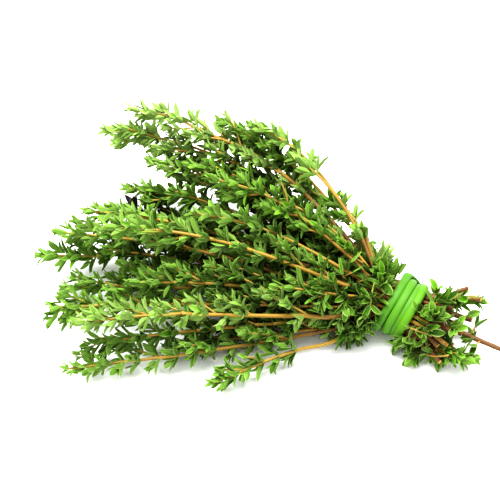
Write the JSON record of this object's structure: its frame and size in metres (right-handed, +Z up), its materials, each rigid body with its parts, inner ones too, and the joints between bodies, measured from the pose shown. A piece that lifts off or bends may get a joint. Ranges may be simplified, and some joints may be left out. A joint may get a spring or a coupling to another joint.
{
  "type": "thyme bundle",
  "caption": "Leafy thyme sprigs fanning out from a rubber band wound round their stems, lying on a table with the cut stem ends past the band.",
  "frame": {"origin": "on the table, under the middle of the bunch's bounding box", "axes": "+X along the bunch from the sprig tips to the cut stem ends, +Y across it towards the side where the sprigs stand highest, +Z up"},
  "size_m": [0.2068, 0.1348, 0.0493],
  "materials": {
    "thyme_leaf": "matt green leaves, paler beneath",
    "thyme_stem": "brown woody stem, orange-tan where younger",
    "tie_band": "smooth green rubber"
  },
  "bodies": {
    "root": {"back_arc": "thyme_leaf", "back_low": "thyme_leaf", "back_inner": "thyme_leaf", "back_table": "thyme_leaf", "back_under": "thyme_leaf", "back_upright": "thyme_leaf", "back_short": "thyme_leaf", "back_middle": "thyme_leaf", "top_back": "thyme_leaf", "top_middle": "thyme_leaf", "top_front": "thyme_leaf", "left_top": "thyme_leaf", "left_middle": "thyme_leaf", "left_far": "thyme_leaf", "left_low": "thyme_leaf", "left_front": "thyme_leaf", "front_long": "thyme_leaf", "front_inner": "thyme_leaf", "front_table": "thyme_leaf", "front_under": "thyme_leaf", "front_droop": "thyme_leaf", "fill_back": "thyme_leaf", "fill_centre": "thyme_leaf", "fill_front": "thyme_leaf", "fill_low": "thyme_leaf", "fill_short": "thyme_leaf", "fill_under": "thyme_leaf", "fill_high": "thyme_leaf", "fill_deep": "thyme_leaf", "fill_near": "thyme_leaf", "turned_low": "thyme_leaf", "turned_front": "thyme_leaf", "turned_back": "thyme_leaf", "rubber_band": "tie_band"}
  },
  "joints": []
}
